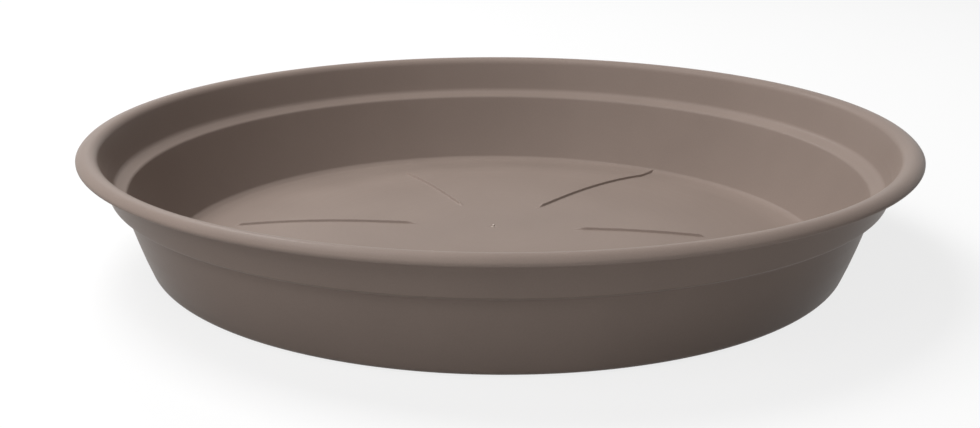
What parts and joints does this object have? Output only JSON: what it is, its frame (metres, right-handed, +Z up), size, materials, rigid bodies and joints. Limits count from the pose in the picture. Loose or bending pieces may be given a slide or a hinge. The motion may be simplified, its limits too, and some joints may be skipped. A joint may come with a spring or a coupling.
{
  "type": "plant saucer",
  "caption": "Round one-piece plastic plant saucer with a rolled rim, a stepped flared wall and a slightly crowned floor with low radial ribs, to catch water under a pot.",
  "frame": {"origin": "middle of the resting plane, under the centre of the dish", "axes": "+Z up along the axis of the dish, towards the open rim; -Y towards the side seen nearest in the picture; +X to the right in the picture"},
  "size_m": [0.4, 0.4, 0.0594],
  "materials": {
    "saucer_plastic": "moulded taupe plastic, satin, with a fine even grain"
  },
  "bodies": {
    "root": {"saucer": "saucer_plastic"}
  },
  "joints": []
}
